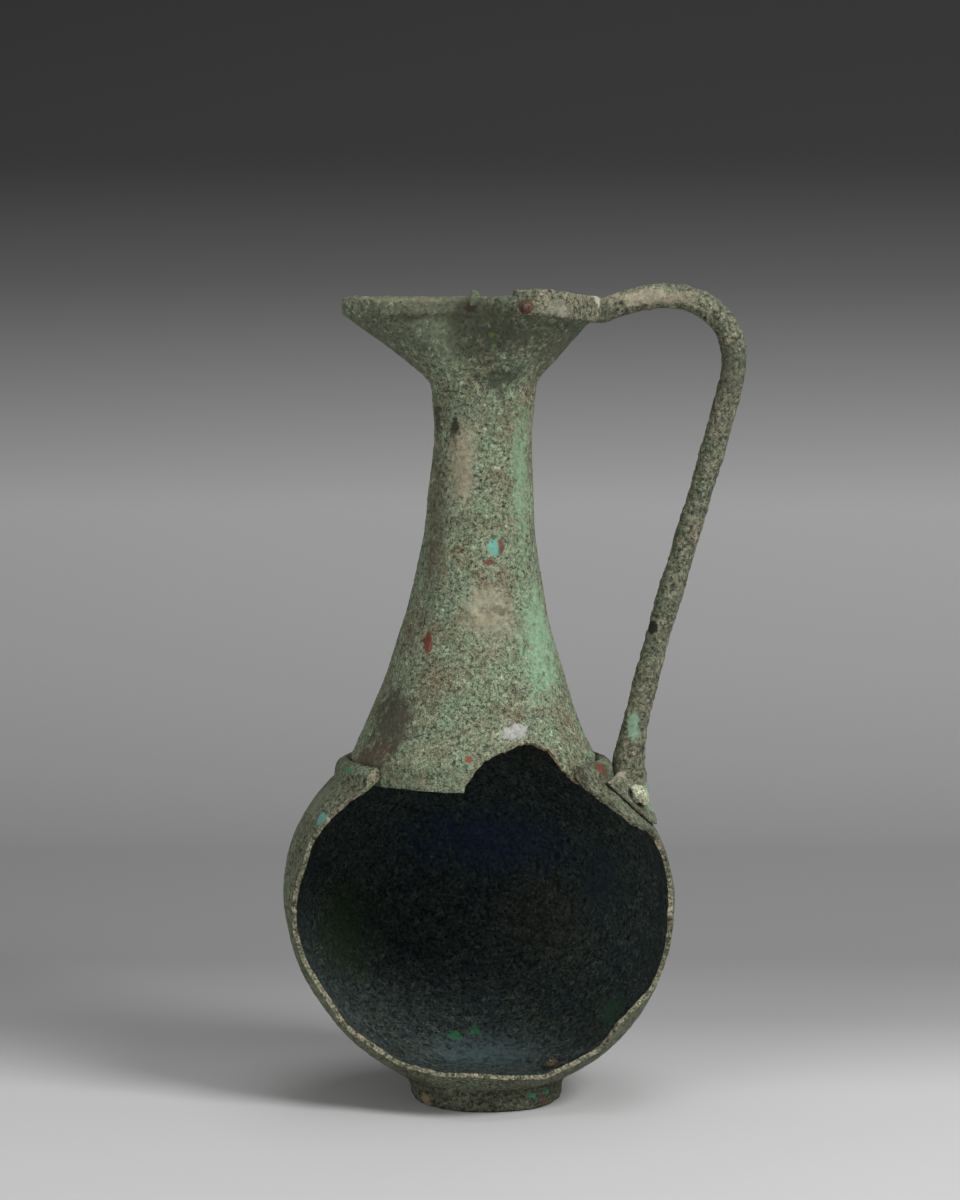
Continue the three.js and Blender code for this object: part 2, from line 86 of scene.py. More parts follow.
def seen_at(piece, across, down):
    """Where the line of sight through a pixel first meets a piece."""
    look = sight(across, down).normalized()
    hit, place, _normal, _face = piece.ray_cast(camera_place, look)
    if hit:
        return place
    print("nothing of", piece.name, "at", across, down)
    return on_axis_plane(across, down)


# %% [markdown]
# Sheet metal is made by spinning. An outline of radius and height is a loop of edges, and spinning
# it round the upright axis gives a shell with a real wall. The long stretches of the outline are
# split into short ones first, so that the shell has faces small enough to take dents and grain.

# %% Helpers for modelling
def only(piece):
    """Leaves one piece selected and active."""
    bpy.ops.object.select_all(action="DESELECT")
    piece.select_set(True)
    bpy.context.view_layer.objects.active = piece


def refined(outline, step):
    """The outline with points added, so that no stretch is longer than the step."""
    points = [outline[0]]
    for start, end in zip(outline, outline[1:]):
        count = max(1, math.ceil(math.dist(start, end) / step))
        for i in range(1, count + 1):
            share = i / count
            points.append(tuple(a + (b - a) * share for a, b in zip(start, end)))
    return points


def spun(name, outline, steps):
    """A closed shell: the outline of (radius, height) spun all the way round."""
    bpy.ops.object.select_all(action="DESELECT")
    bpy.ops.mesh.primitive_circle_add(vertices=len(outline), fill_type="NOTHING")
    piece = bpy.context.object
    piece.name = name
    for vertex, (radius, height) in zip(piece.data.vertices, outline):
        vertex.co = (radius, 0, height)
    bpy.ops.object.mode_set(mode="EDIT")
    bpy.ops.mesh.select_all(action="SELECT")
    bpy.ops.mesh.spin(steps=steps, angle=2 * math.pi, center=(0, 0, 0), axis=(0, 0, 1))
    bpy.ops.mesh.select_all(action="SELECT")
    bpy.ops.mesh.remove_doubles(threshold=1e-6)
    bpy.ops.mesh.delete_loose(use_verts=True, use_edges=True, use_faces=False)
    bpy.ops.mesh.select_all(action="SELECT")
    bpy.ops.mesh.normals_make_consistent(inside=False)
    bpy.ops.object.mode_set(mode="OBJECT")
    print(name, len(piece.data.polygons), "faces")
    return piece


def apply_modifier(piece, kind, **settings):
    """Adds a modifier with its settings and applies it."""
    only(piece)
    modifier = piece.modifiers.new(kind.lower(), kind)
    for key, value in settings.items():
        setattr(modifier, key, value)
    bpy.ops.object.modifier_apply(modifier=modifier.name)


# %% [markdown]
# The jug has settled out of true in the ground: the belly leans towards the spout, and the neck
# leans back to the handle. Each piece is made upright and then pushed sideways by the shift that
# belongs to each height, so that pieces that fit together still fit after it.

# %% The lean of the jug
mm = 0.001
belly_lean = -0.042
neck_lean = 0.035
lean_turn_height = 99.0 * mm
lean_softness = 4 * mm


def axis_shift(height):
    """How far the jug's middle stands to the handle side at a height."""
    over = (height - lean_turn_height) / lean_softness
    turned = lean_softness * math.log1p(math.exp(over))
    return belly_lean * height + (neck_lean - belly_lean) * turned


def lean(piece):
    """Pushes every point of an upright piece sideways by the lean at its height."""
    for vertex in piece.data.vertices:
        vertex.co.x += axis_shift(vertex.co.z)
    piece.data.update()


print("the lean turns at", round(lean_turn_height / mm), "mm")


# %% [markdown]
# Corrosion moves the surface. Wide shallow dents shift the whole sheet, both faces alike, and fine
# grain roughens each face by itself. Here and there a crust has grown, thickest in its middle, or
# a flake has fallen out, which is a growth of negative height. The moves are real geometry, because
# bump in a material leaves an outline too smooth for old bronze.

# %% The corroded surface
dent_waves = 75
grain_waves = 420
grain_fall = 0.7
grain_spacing = 2.1
grain_octaves = 3
grit_waves = 1100
grit_share = 0.7
knob_waves = 450
knob_level = 0.5
knob_swing = 2.2


def grown(piece, named):
    """Growths in metres from named ones, each with its pixel and its radius and height in mm."""
    return [(seen_at(piece, *pixel), wide * mm, high * mm) for pixel, wide, high in named.values()]


def corrode(piece, dent, grain, growths=(), sheet=False):
    """Dents and roughens a piece; growths are (middle, radius, height) in metres."""
    vertices = piece.data.vertices
    normals = [vertex.normal.copy() for vertex in vertices]
    for vertex, normal in zip(vertices, normals):
        place = vertex.co.copy()
        dented = dent * noise.noise(place * dent_waves)
        rough = grain * noise.fractal(place * grain_waves, grain_fall, grain_spacing, grain_octaves)
        rough += grit_share * grain * noise.noise(place * grit_waves)
        for middle, radius, height in growths:
            away = (place - middle).length / radius
            if away < 1:
                knobbly = knob_level + knob_swing * noise.noise(place * knob_waves)
                rough += height * (1 - away ** 2) ** 1.5 * knobbly
        outward = Vector((place.x, place.y, 0)).normalized() if sheet else normal
        vertex.co = place + outward * dented + normal * rough
    piece.data.update()


# %% [markdown]
# A break in thin corroded sheet runs in short straight snaps with a nibbled edge. The outline of
# the break is given as directions seen from a point on the axis, in degrees round from the front
# and degrees up from level. A cone with its tip on the axis and its rim along that outline cuts the
# wall squarely all the way, as a crack does. Its faces carry the second material, so the cut keeps
# the pale look of the edge.

# %% A ragged cutter
snap_step = 0.9
snap_depth = 0.8
snap_waves = 0.45
snap_far_off = Vector((0, 0, 9))


def look_to(round_from_front, up):
    """A direction from degrees round from the front and degrees up from level."""
    turn = math.radians(round_from_front)
    rise = math.radians(up)
    level = math.cos(rise)
    return Vector((math.sin(turn) * level, -math.cos(turn) * level, math.sin(rise)))


def ragged(outline):
    """The outline in short snaps, each nudged a little in or out."""
    points = refined(outline + [outline[0]], snap_step)[:-1]
    nudged = []
    for x, y in points:
        sway = Vector((x, y, 0)) * snap_waves
        turned = snap_depth * noise.noise(sway)
        lifted = snap_depth * noise.noise(sway + snap_far_off)
        nudged.append((x + turned, y + lifted))
    return nudged


def break_open(piece, height, outline, reach):
    """Cuts the piece open along an outline seen from a point on the axis."""
    looks = [look_to(*point) for point in ragged(outline)]
    eye = Vector((0, 0, height))
    middle = sum(looks, Vector()).normalized()
    bpy.ops.object.select_all(action="DESELECT")
    bpy.ops.mesh.primitive_cone_add(
        vertices=len(looks), radius1=1, radius2=0, depth=2, end_fill_type="TRIFAN"
    )
    cutter = bpy.context.object
    remaining = iter(looks)
    for vertex in cutter.data.vertices:
        on_axis = math.hypot(vertex.co.x, vertex.co.y) < 0.5
        if not on_axis:
            vertex.co = eye + next(remaining) * reach
        elif vertex.co.z > 0:
            vertex.co = eye
        else:
            vertex.co = eye + middle * 2 * reach
    bpy.ops.object.mode_set(mode="EDIT")
    bpy.ops.mesh.select_all(action="SELECT")
    bpy.ops.mesh.normals_make_consistent(inside=False)
    bpy.ops.object.mode_set(mode="OBJECT")
    for material in piece.data.materials:
        cutter.data.materials.append(material)
    for face in cutter.data.polygons:
        face.material_index = 1
    apply_modifier(piece, "BOOLEAN", operation="DIFFERENCE", solver="EXACT", object=cutter)
    bpy.data.objects.remove(cutter)
    print(piece.name, "opened,", len(piece.data.polygons), "faces left")


# %% [markdown]
# Colours are written as they look on a screen, from 0 to 255, and turned into the linear values
# that Blender works in. The other helpers each add one node and return its socket, so that a chain
# of nodes can be written like a formula.

# %% Helpers for materials
def tone(red, green, blue):
    """A screen colour as linear red, green, blue and a full alpha."""
    return tuple(((part / 255 + 0.055) / 1.055) ** 2.4 for part in (red, green, blue)) + (1.0,)


def new_group(name, inputs, outputs):
    """An empty shader node group with named sockets, and its two end nodes."""
    group = bpy.data.node_groups.new(name, "ShaderNodeTree")
    for label, kind in inputs:
        group.interface.new_socket(label, in_out="INPUT", socket_type=kind)
    for label, kind in outputs:
        group.interface.new_socket(label, in_out="OUTPUT", socket_type=kind)
    return group, group.nodes.new("NodeGroupInput"), group.nodes.new("NodeGroupOutput")


def noise_node(tree, vector, scale, detail, roughness=0.6, distortion=0.0):
    """A noise texture read at a vector; returns its value socket."""
    made = tree.nodes.new("ShaderNodeTexNoise")
    made.inputs["Scale"].default_value = scale
    made.inputs["Detail"].default_value = detail
    made.inputs["Roughness"].default_value = roughness
    made.inputs["Distortion"].default_value = distortion
    tree.links.new(vector, made.inputs["Vector"])
    return made.outputs["Fac"]


def spread(tree, value, low, high, to_low=0.0, to_high=1.0):
    """Stretches the range from low to high onto another range, held at its ends."""
    made = tree.nodes.new("ShaderNodeMapRange")
    made.interpolation_type = "SMOOTHSTEP"
    tree.links.new(value, made.inputs["Value"])
    made.inputs["From Min"].default_value = low
    made.inputs["From Max"].default_value = high
    made.inputs["To Min"].default_value = to_low
    made.inputs["To Max"].default_value = to_high
    return made.outputs["Result"]


def sum_of(tree, operation, first, second):
    """One math node; each side is a socket or a number."""
    made = tree.nodes.new("ShaderNodeMath")
    made.operation = operation
    for i, value in enumerate((first, second)):
        if isinstance(value, (int, float)):
            made.inputs[i].default_value = value
        else:
            tree.links.new(value, made.inputs[i])
    return made.outputs[0]


def blend(tree, share, under, over):
    """Mixes two colours by a share; each is a socket or a colour."""
    made = tree.nodes.new("ShaderNodeMix")
    made.data_type = "RGBA"
    colours = [made.inputs[6], made.inputs[7]]
    tree.links.new(share, made.inputs[0])
    for side, value in zip(colours, (under, over)):
        if isinstance(value, tuple):
            side.default_value = value
        else:
            tree.links.new(value, side)
    return made.outputs[2]


# %% [markdown]
# The patina is one node group that every material uses with its own colours. A ground drifts into a
# stain, paler blotches lie over both, and fine dark pits over those. Speckles and grains then
# lighten and darken the whole, and the same noises put out the roughness and a grainy height.

# %% The patina group
blotch_rise = 0.45
pit_sink = 0.7
speckle_rise = 0.5
colour_sockets = ["Ground", "Stain", "Pale", "Pits"]
patina, patina_in, patina_out = new_group(
    "patina",
    [("Vector", "NodeSocketVector"), ("Pale share", "NodeSocketFloat"), ("Pit share", "NodeSocketFloat")]
    + [(label, "NodeSocketColor") for label in colour_sockets],
    [("Colour", "NodeSocketColor"), ("Roughness", "NodeSocketFloat"), ("Height", "NodeSocketFloat")],
)
place_in = patina_in.outputs["Vector"]
drift = spread(patina, noise_node(patina, place_in, 90, 9, 0.78, 0.3), 0.42, 0.64)
blotch_noise = noise_node(patina, place_in, 330, 12, 0.85)
blotches = spread(patina, sum_of(patina, "ADD", blotch_noise, patina_in.outputs["Pale share"]), 0.5, 0.68)
pit_noise = noise_node(patina, place_in, 850, 8, 0.78)
pits = spread(patina, sum_of(patina, "ADD", pit_noise, patina_in.outputs["Pit share"]), 0.53, 0.6)
speckle_noise = noise_node(patina, place_in, 2400, 5, 0.75)
speckles = spread(patina, speckle_noise, 0.4, 0.6, -0.35, 0.35)
grain_noise = noise_node(patina, place_in, 1050, 7, 0.85)
grains = spread(patina, grain_noise, 0.38, 0.62, -0.6, 0.62)
tint = spread(patina, noise_node(patina, place_in, 160, 6, 0.7), 0.35, 0.65, 0.47, 0.53)
stained = blend(patina, drift, patina_in.outputs["Ground"], patina_in.outputs["Stain"])
paled = blend(patina, blotches, stained, patina_in.outputs["Pale"])
pitted = blend(patina, pits, paled, patina_in.outputs["Pits"])
shade = patina.nodes.new("ShaderNodeHueSaturation")
lightness = sum_of(patina, "ADD", sum_of(patina, "ADD", speckles, grains), 1.0)
patina.links.new(lightness, shade.inputs["Value"])
patina.links.new(tint, shade.inputs["Hue"])
patina.links.new(pitted, shade.inputs["Color"])
patina.links.new(shade.outputs["Color"], patina_out.inputs["Colour"])
patina.links.new(spread(patina, blotch_noise, 0.3, 0.7, 0.62, 0.92), patina_out.inputs["Roughness"])
blotch_height = sum_of(patina, "MULTIPLY", blotches, blotch_rise)
pit_height = sum_of(patina, "MULTIPLY", pits, pit_sink)
raised = sum_of(patina, "SUBTRACT", blotch_height, pit_height)
grainy = sum_of(patina, "ADD", sum_of(patina, "MULTIPLY", speckle_noise, speckle_rise), grain_noise)
patina.links.new(sum_of(patina, "ADD", raised, grainy), patina_out.inputs["Height"])
print("patina group with", len(patina.nodes), "nodes")

# %% [markdown]
# Local stains, such as a spot of malachite or a patch of red copper oxide, are egg-shaped masks with a
# ragged rim. On the mouth the same masks also lay painted light and painted shade. The mask is a second
# group: it measures the distance from a middle, in units of the stain's own half sizes, and lets noise eat
# into it.

# %% The stain group
eating_scale = 420
eating_depth = 2.6
stain, stain_in, stain_out = new_group(
    "stain",
    [("Vector", "NodeSocketVector"), ("Middle", "NodeSocketVector"), ("Half size", "NodeSocketVector"),
     ("Softness", "NodeSocketFloat"), ("Strength", "NodeSocketFloat")],
    [("Mask", "NodeSocketFloat")],
)
from_middle = stain.nodes.new("ShaderNodeVectorMath")
from_middle.operation = "SUBTRACT"
stain.links.new(stain_in.outputs["Vector"], from_middle.inputs[0])
stain.links.new(stain_in.outputs["Middle"], from_middle.inputs[1])
in_sizes = stain.nodes.new("ShaderNodeVectorMath")
in_sizes.operation = "DIVIDE"
stain.links.new(from_middle.outputs[0], in_sizes.inputs[0])
stain.links.new(stain_in.outputs["Half size"], in_sizes.inputs[1])
distance = stain.nodes.new("ShaderNodeVectorMath")
distance.operation = "LENGTH"
stain.links.new(in_sizes.outputs[0], distance.inputs[0])
eaten_noise = noise_node(stain, stain_in.outputs["Vector"], eating_scale, 8, 0.7)
eaten = sum_of(stain, "MULTIPLY", sum_of(stain, "SUBTRACT", eaten_noise, 0.5), eating_depth)
reach_out = sum_of(stain, "ADD", distance.outputs["Value"], eaten)
inside_share = sum_of(stain, "SUBTRACT", 1.0, reach_out)
sharpened = sum_of(stain, "DIVIDE", inside_share, stain_in.outputs["Softness"])
clamped = spread(stain, sharpened, 0.0, 1.0)
stain.links.new(sum_of(stain, "MULTIPLY", clamped, stain_in.outputs["Strength"]), stain_out.inputs["Mask"])
print("stain group with", len(stain.nodes), "nodes")

# %% [markdown]
# A bronze material is the patina with its stains laid over it one after another. Marks are kept
# under a name with the pixel that they are seen at, and a line of sight turns the pixel into a
# point of the piece.

# %% Bronze materials
metal_share = 0.08
gloss = 0.35
bump_strength = 0.7
bump_distance = 0.5 * mm


def bronze(name, colours, pale_share=0.0, pit_share=0.0, stains=()):
    """A patina material; each stain, or patch of painted light or shade, is (middle, half sizes in mm,
    colour, strength, softness).
    """
    material = bpy.data.materials.new(name)
    material.use_nodes = True
    tree = material.node_tree
    shader = tree.nodes["Principled BSDF"]
    shader.inputs["Metallic"].default_value = metal_share
    shader.inputs["Specular IOR Level"].default_value = gloss
    coordinates = tree.nodes.new("ShaderNodeTexCoord").outputs["Object"]
    skin = tree.nodes.new("ShaderNodeGroup")
    skin.node_tree = patina
    tree.links.new(coordinates, skin.inputs["Vector"])
    skin.inputs["Pale share"].default_value = pale_share
    skin.inputs["Pit share"].default_value = pit_share
    for label, colour in zip(colour_sockets, colours):
        skin.inputs[label].default_value = tone(*colour)
    colour_now = skin.outputs["Colour"]
    for middle, half_sizes, colour, strength, softness in stains:
        spot = tree.nodes.new("ShaderNodeGroup")
        spot.node_tree = stain
        tree.links.new(coordinates, spot.inputs["Vector"])
        spot.inputs["Middle"].default_value = middle
        spot.inputs["Half size"].default_value = [size * mm for size in half_sizes]
        spot.inputs["Softness"].default_value = softness
        spot.inputs["Strength"].default_value = strength
        colour_now = blend(tree, spot.outputs["Mask"], colour_now, tone(*colour))
    tree.links.new(colour_now, shader.inputs["Base Color"])
    tree.links.new(skin.outputs["Roughness"], shader.inputs["Roughness"])
    bumps = tree.nodes.new("ShaderNodeBump")
    bumps.inputs["Strength"].default_value = bump_strength
    bumps.inputs["Distance"].default_value = bump_distance
    tree.links.new(skin.outputs["Height"], bumps.inputs["Height"])
    tree.links.new(bumps.outputs["Normal"], shader.inputs["Normal"])
    return material


def plain(name):
    """An empty material that holds a slot until the real one is made."""
    return bpy.data.materials.new(name)


def placed(piece, marks):
    """Stains, and patches of painted light or shade, from named marks: a pixel becomes the point of the
    piece that it shows.
    """
    stains = []
    for where, half_sizes, colour, strength, softness in marks.values():
        middle = seen_at(piece, *where) if len(where) == 2 else where
        stains.append((middle, half_sizes, colour, strength, softness))
    print(piece.name, "has", len(stains), "local stains")
    return stains


# %% [markdown]
# The sizes of the sheet are written once. What fits together shares them: the lip of the neck sits
# in the collar, and the neck ends in a narrower spigot that the mouth is pushed over.

# %% Sizes of the raised sheet
belly_base = 4.8 * mm
belly_drop = 50.4 * mm
belly_centre = belly_base + belly_drop
belly_radius = 53.3 * mm
belly_base_radius = 18 * mm
belly_fullness = 1.93
belly_wall = 1.3 * mm
shoulder_rise = 48 * mm
collar_bore = 33.3 * mm
collar_width = 4.4 * mm
collar_bulge = 3.2 * mm
collar_lip_round = 0.9 * mm
collar_foot = collar_bore + collar_width + collar_lip_round / 2
collar_top = belly_centre + shoulder_rise * math.sqrt(1 - (collar_bore / belly_radius) ** 2) + 1.1 * mm
narrowing = 1 - (belly_base_radius / belly_radius) ** belly_fullness
belly_depth = belly_drop / narrowing ** (1 / belly_fullness)

neck_base_radius = 33 * mm
neck_top_radius = 13.25 * mm
neck_wall = 1.2 * mm
neck_sweep = 2.25
neck_lip = collar_top - 5.2 * mm
neck_top = neck_lip + 104.4 * mm
spigot_step = 0.7 * mm
spigot_foot = neck_top - 4.4 * mm
sweep_start = neck_lip + 5.9 * mm
sweep_end = spigot_foot - spigot_step
face_step = 1.05 * mm
print("collar top", round(collar_top, 4), "neck top", round(neck_top, 4))

# %% [markdown]
# The belly was raised from one sheet: flat below, full in the middle and drawn in to a thick collar
# that holds the neck. Its outline is a slightly squared circle below the widest place and a plain
# ellipse above it, drawn once outside and once inside. The front is then broken open.

# %% Outline of the belly
def lower_belly(offset, steps=40):
    """The lower half of the outline, from the base to the widest place."""
    depth = belly_depth + offset
    start = math.asin(((belly_drop + offset) / depth) ** (belly_fullness / 2))
    power = 2 / belly_fullness
    angles = [start * (1 - i / steps) for i in range(steps + 1)]
    radius = belly_radius + offset
    return [(radius * math.cos(a) ** power, belly_centre - depth * math.sin(a) ** power) for a in angles]


def upper_belly(offset, end_radius, steps=30):
    """The shoulder, from the widest place up to a radius."""
    end = math.acos(end_radius / (belly_radius + offset))
    angles = [end * (i + 1) / steps for i in range(steps)]
    rise = shoulder_rise + offset
    return [((belly_radius + offset) * math.cos(a), belly_centre + rise * math.sin(a)) for a in angles]


def collar_side(steps=9):
    """The rounded outer side of the collar, from low to crest."""
    angles = [math.pi / 2 * i / steps for i in range(steps + 1)]
    crest = collar_bore + collar_lip_round
    width = collar_width - collar_lip_round
    low = collar_top - collar_bulge
    return [(crest + width * math.cos(a), low + collar_bulge * math.sin(a)) for a in angles]


belly_outline = [(0, belly_base)] + lower_belly(0) + upper_belly(0, collar_foot) + collar_side()
belly_outline += [(collar_bore, collar_top - collar_lip_round)]
belly_outline += upper_belly(-belly_wall, collar_bore)[::-1] + lower_belly(-belly_wall)[::-1]
belly_outline += [(0, belly_base + belly_wall)]
print("belly outline of", len(belly_outline), "points")

belly_break = [
    (-51, 58), (-48, 46), (-49, 42), (-55, 36), (-60, 29), (-64, 22), (-66, 13), (-68, 6), (-70, 0),
    (-73, -7), (-71, -15), (-66, -22), (-62, -30), (-62, -37), (-53, -43), (-45, -51), (-33, -53),
    (-24, -55), (-6, -54), (10, -56), (34, -58), (43, -53), (57, -47), (57, -36), (67, -29), (84, -23),
    (82, -15), (79, -4), (82, 1), (85, 7), (84, 13), (81, 21), (67, 26), (62, 31), (57, 35), (53, 42),
    (54, 47), (57, 58),
]

# %% [markdown]
# The outline is spun into a shell, and the faces that look at its middle get the inner material.
# The cut comes next and brings the material of the edge. Dents and grain come last, so that the
# broken edge takes them too.

# %% Spin and break the belly
belly_steps = 300
belly_dent = 0.45 * mm
belly_grain = 0.13 * mm
cutter_share = 1.4
belly = spun("raised_belly", refined(belly_outline, face_step), belly_steps)
for label in ("belly_outside", "belly_edge", "belly_inside"):
    belly.data.materials.append(plain(label))
belly_middle = Vector((0, 0, belly_centre))
for face in belly.data.polygons:
    if face.normal.dot(face.center - belly_middle) < 0:
        face.material_index = 2
break_open(belly, belly_centre, belly_break, cutter_share * belly_radius)
corrode(belly, belly_dent, belly_grain, sheet=True)
lean(belly)

# %% [markdown]
# The neck is one sheet rolled into a swept cone that plugs into the collar. It swells a little at
# its top, where corrosion has filled the seam with the mouth. Its lower edge has lost a bite in
# front, just above the break in the belly.

# %% Spin and break the neck
def neck_radius(height):
    """The neck's outer radius at a height."""
    left = min(1, max(0, (sweep_end - height) / (sweep_end - sweep_start)))
    return neck_top_radius + (neck_base_radius - neck_top_radius) * left ** neck_sweep


def neck_inner(height):
    """The neck's inner radius, with the wall measured square to its slant."""
    slant = (neck_radius(height - 0.5 * mm) - neck_radius(height + 0.5 * mm)) / mm
    return neck_radius(height) - neck_wall * math.hypot(1, slant)


sweep_steps = 60
neck_steps = 200
neck_face_step = 0.85 * mm
neck_dent = 0.35 * mm
neck_grain = 0.14 * mm
heights = [sweep_start + (sweep_end - sweep_start) * i / sweep_steps for i in range(sweep_steps + 1)]
spigot_radius = neck_top_radius - spigot_step
seam_swell = 0.4 * mm
seam_height = 6 * mm
swell = [seam_swell * max(0, 1 - (spigot_foot - z) / seam_height) ** 2 for z in heights]
neck_outline = [(neck_base_radius, neck_lip)] + [(neck_radius(z) + out, z) for z, out in zip(heights, swell)]
seam_top = spigot_foot + 0.9 * mm
neck_outline += [(neck_top_radius + seam_swell, seam_top), (spigot_radius, seam_top)]
neck_outline += [(spigot_radius, neck_top), (spigot_radius - neck_wall, neck_top)]
neck_outline += [(neck_inner(z), z) for z in reversed(heights)]
neck_outline += [(neck_base_radius - neck_wall, neck_lip), (neck_base_radius, neck_lip)]

neck_bite = [
    (-7, -9), (-4, 2), (0, 8), (5, 14), (12, 17.5), (17, 19), (25, 22), (31, 22.5), (41, 17.5), (45, 10),
    (52, 4), (61, -1), (63, -9),
]
neck = spun("swept_neck", refined(neck_outline, neck_face_step)[:-1], neck_steps)
for label in ("neck_outside", "neck_edge", "neck_inside"):
    neck.data.materials.append(plain(label))
for face in neck.data.polygons:
    if face.normal.x * face.center.x + face.normal.y * face.center.y < 0:
        face.material_index = 2
break_open(neck, neck_lip, neck_bite, cutter_share * neck_base_radius)
lean(neck)
neck_growths = {
    "big crust": ((488, 612), 11, 0.75),
    "top of the crust": ((505, 600), 5, 0.5),
    "side of the crust": ((452, 640), 6, 0.45),
    "low crust": ((520, 700), 7, 0.4),
    "fallen flake": ((455, 426), 1.9, -0.7),
    "foot of the flake": ((456, 434), 1.4, -0.5),
}
crust_place = seen_at(neck, *neck_growths["big crust"][0])
corrode(neck, neck_dent, neck_grain, grown(neck, neck_growths))

# %% [markdown]
# The foot is a low cast disc. Corrosion has filled the joint between it and the belly, so its side
# runs up into the sheet, and its rim is worn away on the handle side. The mouth, the handle and the
# rivets start as merged copies of the frame's solids. A voxel remesh gives them small even faces,
# smoothing rounds the facets, and corrosion does the rest.

# %% Copies with a corroded skin
def weathered(node, name, voxel, smoothing, dent, grain):
    """A copy of a solid with fine even faces, rounded and corroded."""
    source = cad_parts[node]
    piece = source.copy()
    piece.data = source.data.copy()
    piece.name = name
    piece.parent = None
    for key in list(piece.keys()):
        del piece[key]
    bpy.context.scene.collection.objects.link(piece)
    only(piece)
    bpy.ops.object.mode_set(mode="EDIT")
    bpy.ops.mesh.select_all(action="SELECT")
    bpy.ops.mesh.remove_doubles(threshold=1e-5)
    bpy.ops.object.mode_set(mode="OBJECT")
    apply_modifier(piece, "REMESH", mode="VOXEL", voxel_size=voxel)
    apply_modifier(piece, "SMOOTH", factor=0.5, iterations=smoothing)
    corrode(piece, dent, grain)
    print(name, len(piece.data.polygons), "faces")
    return piece


foot_radius = 20.6 * mm
foot_height = 4.5 * mm
joint_radius = 22.2 * mm
joint_height = 6.9 * mm
foot_face_step = 0.6 * mm
foot_steps = 220
foot_dent = 0.5 * mm
foot_grain = 0.2 * mm
foot_outline = [
    (0, 0), (foot_radius - 1.6 * mm, 0), (foot_radius - 0.5 * mm, 0.5 * mm), (foot_radius, 1.7 * mm),
    (foot_radius, 3.2 * mm), (foot_radius + 0.3 * mm, foot_height), (joint_radius, joint_height),
    (belly_base_radius, belly_base + 0.4 * mm), (0, foot_height),
]
foot = spun("cast_foot", refined(foot_outline, foot_face_step), foot_steps)
lean(foot)
corrode(foot, foot_dent, foot_grain)
worn_pixel = (536, 1109)
worn_edge = on_axis_plane(*worn_pixel)
worn_radius = 7 * mm
worn_height = 3 * mm
worn_lift = 1.6 * mm
for vertex in foot.data.vertices:
    away = (vertex.co - worn_edge).length / worn_radius
    if away < 1 and vertex.co.z < worn_height:
        vertex.co.z += worn_lift * (1 - away) ** 0.5
    vertex.co.z = max(vertex.co.z, 0)
cast_skin = {"voxel": 0.45 * mm, "smoothing": 6}
rivet_skin = {"voxel": 0.22 * mm, "smoothing": 4, "dent": 0.1 * mm, "grain": 0.09 * mm}
mouth = weathered("mouth", "pinched_mouth", dent=0.3 * mm, grain=0.17 * mm, **cast_skin)
rim_growths = {
    "burr on the rim": ((475, 297), 1.8, 1.3),
    "foot of the burr": ((468, 305), 4.5, 0.6),
    "crust at the spout": ((352, 305), 4, 0.5),
    "crust by the rivet": ((500, 303), 4, 0.5),
    "crust under the rim": ((415, 318), 4, 0.4),
}
corrode(mouth, 0, 0, grown(mouth, rim_growths))
handle = weathered("handle", "riveted_handle", dent=0.35 * mm, grain=0.24 * mm, **cast_skin)
rivet_nodes = ["rim_rivet_front", "rim_rivet_back", "shoulder_rivet_front", "shoulder_rivet_back"]
rivets = {node: weathered(node, f"worn_{node}", **rivet_skin) for node in rivet_nodes}

# %% [markdown]
# Now the finishes. Each piece gets its own ground, stain, pale and pit colours, and then the local
# stains that the photograph shows, placed where the line of sight meets the piece.

# %% Finish of the neck
neck_colours = [(116, 128, 104), (110, 102, 80), (166, 182, 152), (60, 58, 44)]
neck_edge_colours = [(168, 140, 110), (128, 118, 94), (184, 174, 146), (96, 78, 58)]
neck_inner_colours = [(56, 62, 52), (44, 52, 50), (84, 96, 88), (30, 32, 28)]
seam_middle = Vector((axis_shift(spigot_foot), 0, spigot_foot))
seam_half_sizes = (20, 20, 9)
seam_tone = (98, 102, 82)
neck_marks = {
    "green flank": ((540, 640), (9, 16, 26), (148, 190, 156), 0.6, 0.9),
    "green streak": ((521, 480), (4, 9, 34), (140, 176, 142), 0.55, 0.9),
    "seam with the mouth": (seam_middle, seam_half_sizes, seam_tone, 0.6, 0.9),
    "brown flank": ((436, 520), (4, 9, 44), (92, 86, 68), 0.6, 0.9),
    "brown foot": ((392, 722), (9, 16, 12), (68, 62, 50), 0.85, 0.6),
    "red foot edge": ((372, 758), (8, 12, 5), (86, 72, 58), 0.8, 0.6),
    "pale fall under the flake": ((462, 465), (5, 6, 15), (176, 166, 142), 0.55, 0.7),
    "crust": (crust_place, (10, 6, 11), (170, 162, 138), 0.65, 0.7),
    "blue spot": ((494, 549), (1.6, 3, 2.2), (112, 176, 160), 0.95, 0.3),
    "red beside the blue spot": ((501, 546), (0.9, 2, 2.4), (104, 56, 44), 0.8, 0.4),
    "red under the blue spot": ((488, 562), (2.2, 2, 0.8), (108, 52, 40), 0.8, 0.4),
    "red scar": ((428, 643), (1.6, 3, 3.0), (120, 52, 40), 0.9, 0.35),
    "flake": ((455, 427), (1.4, 2, 3.4), (58, 54, 42), 0.9, 0.35),
    "white patch": ((515, 732), (5, 5, 2.4), (196, 192, 190), 0.7, 0.5),
    "violet spot": ((357, 765), (1.4, 3, 1.2), (150, 132, 160), 0.8, 0.4),
    "small red spot": ((468, 760), (1.2, 3, 1.2), (150, 60, 46), 0.8, 0.4),
    "dark shoulder of the flake": ((437, 410), (1.3, 6, 8), (58, 54, 44), 0.75, 0.5),
}
neck_finish = [
    bronze("neck_patina", neck_colours, 0.02, -0.01, placed(neck, neck_marks)),
    bronze("neck_broken_edge", neck_edge_colours, 0.02, 0.02),
    bronze("neck_inner_skin", neck_inner_colours),
]
for i, material in enumerate(neck_finish):
    neck.data.materials[i] = material

